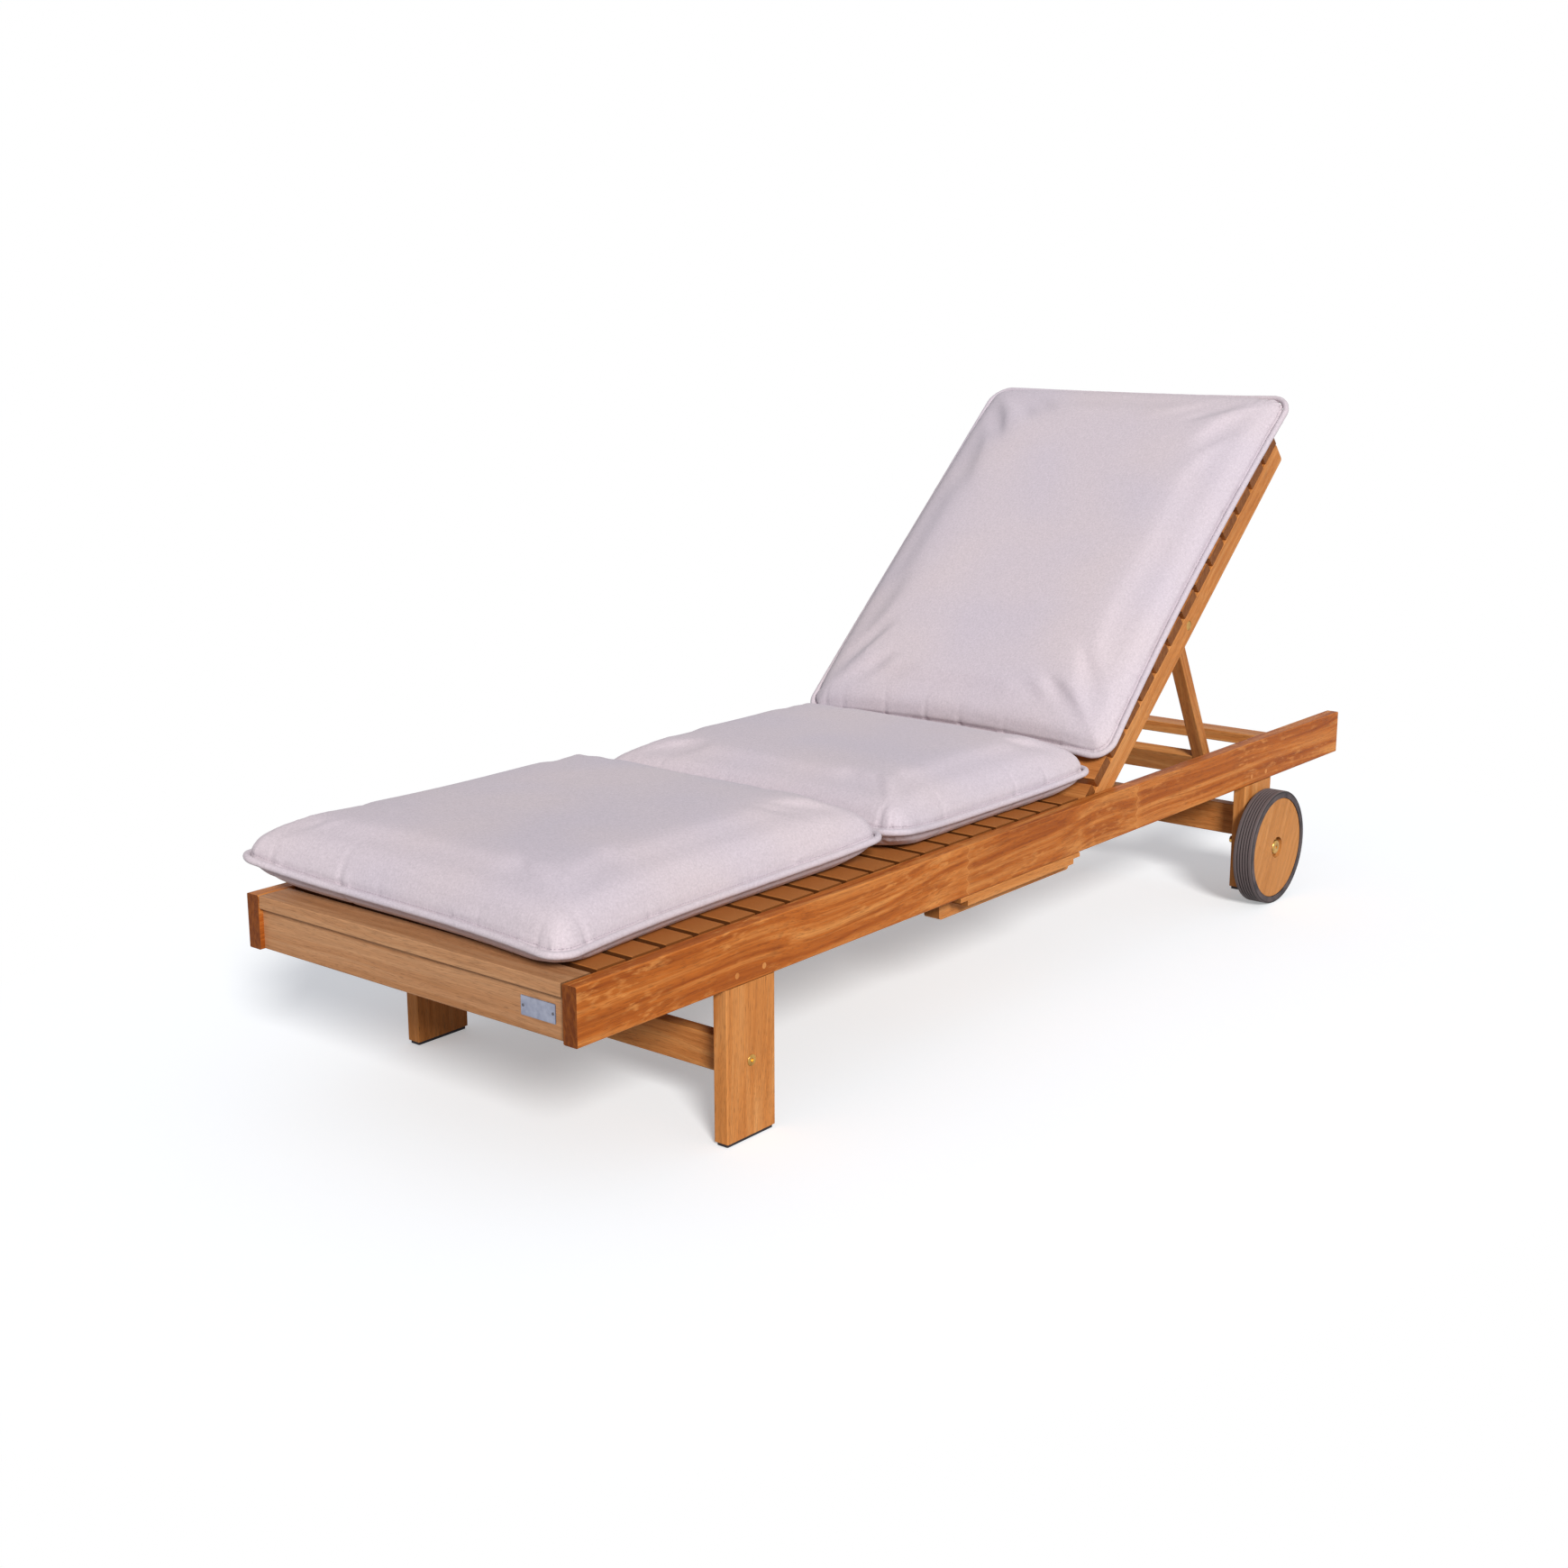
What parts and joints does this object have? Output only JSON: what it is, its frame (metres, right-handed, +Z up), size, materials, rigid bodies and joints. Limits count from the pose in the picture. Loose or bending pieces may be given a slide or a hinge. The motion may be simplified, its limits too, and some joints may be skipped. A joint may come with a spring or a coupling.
{
  "type": "sun lounger",
  "caption": "Low wooden sun lounger with a propped reclining backrest, two wheels at the head end, a pull-out side tray and a crowned fabric cushion on each section.",
  "frame": {"origin": "on the floor, in the middle of the side rails' length and width", "axes": "+X from the foot end to the head end, +Y to the sitter's right, +Z up"},
  "size_m": [2, 0.696, 0.866],
  "materials": {
    "teak": "oiled, satin",
    "teak_rail": "oiled, satin",
    "teak_pale": "oiled, satin",
    "cushion_fabric": "plain woven outdoor cloth",
    "brass": "satin",
    "tyre_rubber": "matt, ribbed",
    "pad_rubber": "matt"
  },
  "bodies": {
    "root": {"axle_nuts": "brass", "axle_spacers": "brass", "barrel_nuts": "brass", "front_apron": "teak_pale", "front_cap_slat": "teak", "front_stretcher": "teak_pale", "front_tray_runner": "teak", "hinge_bolts": "brass", "left_axle_bolt": "brass", "left_front_leg": "teak_pale", "left_front_pad": "pad_rubber", "left_ledger": "teak", "left_rack": "teak", "left_rail": "teak_rail", "left_rear_leg": "teak_pale", "left_rear_pad": "pad_rubber", "left_tray_batten": "teak", "leg_cushion": "cushion_fabric", "leg_dowels": "teak_pale", "rear_crossbar": "teak", "rear_stretcher": "teak_pale", "rear_tray_runner": "teak", "right_axle_bolt": "brass", "right_front_leg": "teak_pale", "right_front_pad": "pad_rubber", "right_ledger": "teak", "right_rack": "teak", "right_rail": "teak_rail", "right_rear_leg": "teak_pale", "right_rear_pad": "pad_rubber", "right_tray_batten": "teak", "seat_cushion": "cushion_fabric", "seat_slats_1": "teak", "seat_slats_2": "teak", "seat_slats_3": "teak", "seat_slats_4": "teak", "seat_slats_5": "teak", "seat_slats_6": "teak", "stretcher_bolts": "brass"},
    "backrest": {"back_slats_1": "teak", "back_slats_2": "teak", "back_slats_3": "teak", "back_slats_4": "teak", "left_stile": "teak", "right_stile": "teak", "back_cushion": "cushion_fabric", "prop_bolts": "brass", "hinge_washers": "brass"},
    "prop": {"left_prop_arm": "teak", "right_prop_arm": "teak", "prop_foot_bar": "teak"},
    "tray": {"tray_board": "teak", "tray_stop": "teak"},
    "left_wheel": {"left_wheel_disc": "teak_pale", "left_tyre": "tyre_rubber", "left_wheel_bush": "brass"},
    "right_wheel": {"right_wheel_disc": "teak_pale", "right_tyre": "tyre_rubber", "right_wheel_bush": "brass"}
  },
  "joints": [
    {"name": "recline", "type": "hinge", "parent": "root", "child": "backrest", "pos_m": [0.17202, 0, 0.254], "axis": [0, -1, 0], "range_deg": [-42, 3]},
    {"name": "prop_swing", "type": "hinge", "parent": "backrest", "child": "prop", "pos_m": [0.46185, 0, 0.51496], "axis": [0, 1, 0], "range_deg": [-104.39, 7.55]},
    {"name": "tray_slide", "type": "slide", "parent": "root", "child": "tray", "axis": [0, -1, 0], "range_m": [0, 0.25]},
    {"name": "left_wheel_spin", "type": "hinge", "parent": "root", "child": "left_wheel", "pos_m": [0.69, -0.3305, 0.1], "axis": [0, 1, 0], "continuous": true},
    {"name": "right_wheel_spin", "type": "hinge", "parent": "root", "child": "right_wheel", "pos_m": [0.69, 0.3305, 0.1], "axis": [0, 1, 0], "continuous": true}
  ],
  "couplings": [
    {"joint": "prop_swing", "follows": "recline", "ratio": 2.483}
  ]
}
